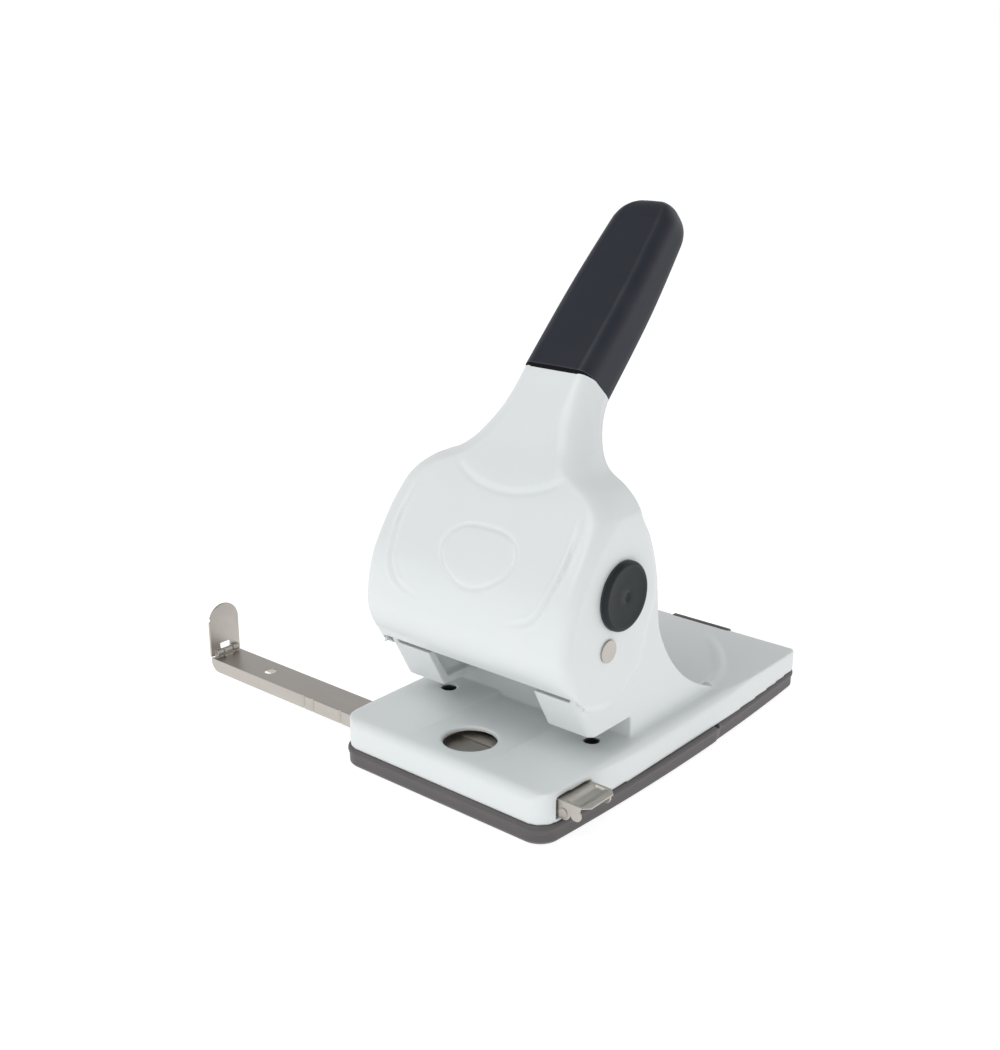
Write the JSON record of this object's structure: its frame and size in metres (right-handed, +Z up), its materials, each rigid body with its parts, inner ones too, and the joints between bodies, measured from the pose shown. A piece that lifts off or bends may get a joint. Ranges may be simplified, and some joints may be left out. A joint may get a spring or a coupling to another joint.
{
  "type": "two-hole paper punch",
  "caption": "Heavy-duty two-hole paper punch: tall leaning lever over a long cast base, spring-returned punches, side ruler with folding stop, and a hinged chip tray.",
  "frame": {"origin": "on the table under the punch, midway between the two punch pins", "axes": "+Z up; +X to the right seen from the side that paper goes in; paper goes in along +Y"},
  "size_m": [0.2275, 0.2023, 0.2309],
  "materials": {
    "white_paint": "satin white powder coat with a faint cool tint",
    "navy_grip": "fine-textured dark navy plastic, satin",
    "slate_plastic": "moulded slate-grey plastic, semi-gloss",
    "dark_rubber": "soft dark grey moulded plastic, satin",
    "nickel_plate": "nickel-plated pressed steel",
    "spring_steel": "drawn spring steel",
    "tool_steel": "ground and oiled tool steel"
  },
  "bodies": {
    "base": {"base_casting": "white_paint", "die_left": "tool_steel", "die_right": "tool_steel", "guide_bush_left": "tool_steel", "guide_bush_right": "tool_steel", "pivot_axle": "nickel_plate", "axle_washers": "nickel_plate", "ruler_guide": "nickel_plate", "ruler_guide_screws": "nickel_plate", "clip_rivets": "nickel_plate", "clip_spring": "spring_steel", "rear_pad": "dark_rubber", "rear_pad_screws": "nickel_plate", "tray_hinge_rod": "nickel_plate", "pin_spring_left": "spring_steel", "pin_spring_right": "spring_steel"},
    "lever": {"lever_hood": "white_paint", "lever_core": "nickel_plate", "core_screws": "nickel_plate", "grip": "navy_grip", "press_shaft": "tool_steel", "shaft_clips": "spring_steel", "roller_left": "tool_steel", "roller_right": "tool_steel", "cap_left": "slate_plastic", "cap_right": "slate_plastic"},
    "punches": {"crosshead": "tool_steel", "punch_pin_left": "tool_steel", "punch_pin_right": "tool_steel", "pin_clips": "spring_steel"},
    "ruler": {"ruler_bar": "nickel_plate", "stop_hinge_pin": "nickel_plate"},
    "stop": {"stop_paddle": "nickel_plate"},
    "clip": {"lock_clip": "nickel_plate"},
    "tray": {"chip_tray": "dark_rubber"}
  },
  "joints": [
    {"name": "lever_hinge", "type": "hinge", "parent": "base", "child": "lever", "pos_m": [0, -0.0105, 0.0695], "axis": [-1, 0, 0], "range_deg": [0, 44], "stiffness_Nm_per_rad": 2.38, "springref_deg": -11.12},
    {"name": "punch_slide", "type": "slide", "parent": "base", "child": "punches", "axis": [0, 0, -1], "range_m": [0, 0.01185], "deforming": ["pin_spring_left", "pin_spring_right"]},
    {"name": "ruler_slide", "type": "slide", "parent": "base", "child": "ruler", "axis": [1, 0, 0], "range_m": [-0.008, 0.07]},
    {"name": "stop_fold", "type": "hinge", "parent": "ruler", "child": "stop", "pos_m": [-0.1555, -0.033, 0.0186], "axis": [0, 1, 0], "range_deg": [0, 88]},
    {"name": "clip_press", "type": "hinge", "parent": "base", "child": "clip", "pos_m": [0.0585, -0.033, 0.0135], "axis": [0, 1, 0], "range_deg": [0, 5], "stiffness_Nm_per_rad": 0.6, "springref_deg": -6.88, "deforming": ["clip_spring"]},
    {"name": "tray_hinge", "type": "hinge", "parent": "base", "child": "tray", "pos_m": [0, 0.067, 0.0035], "axis": [1, 0, 0], "range_deg": [0, 55]}
  ],
  "couplings": [
    {"joint": "punch_slide", "follows": "lever_hinge", "m_per_rad": 0.015366}
  ]
}
